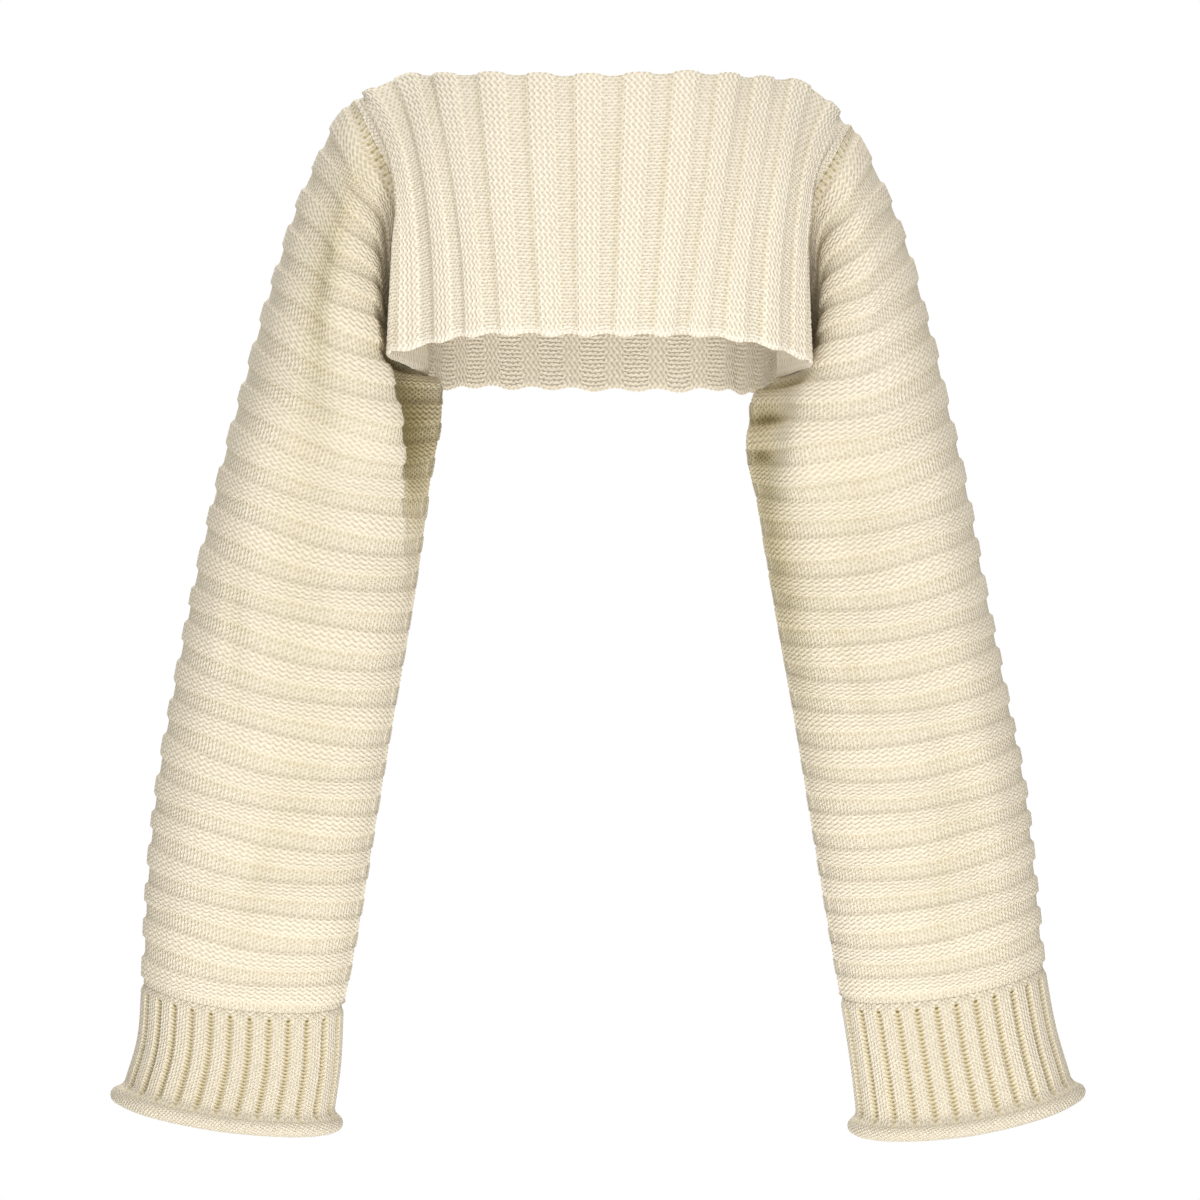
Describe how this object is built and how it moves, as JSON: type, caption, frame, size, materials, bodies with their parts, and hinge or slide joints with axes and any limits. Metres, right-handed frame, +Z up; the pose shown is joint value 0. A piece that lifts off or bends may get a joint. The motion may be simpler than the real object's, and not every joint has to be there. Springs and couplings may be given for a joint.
{
  "type": "knitted shrug",
  "caption": "Cropped off-shoulder knitted shrug with a short welted body, long wide welted sleeves and ribbed cuffs with a rolled edge, shown filled out and hollow.",
  "frame": {"origin": "on the centre plane between front and back, at the height of the shoulders, midway between the outer shoulder points", "axes": "+X towards the wearer's left, -Y towards the front, +Z up"},
  "size_m": [0.7248, 0.2002, 0.7939],
  "materials": {
    "knit": "matte cream cotton knit in raised purl welts",
    "rib": "matte cream cotton rib with a rolled edge"
  },
  "bodies": {
    "root": {"front": "knit", "back": "knit", "sleeve_left": "knit", "sleeve_right": "knit", "cuff_left": "rib", "cuff_right": "rib"}
  },
  "joints": []
}
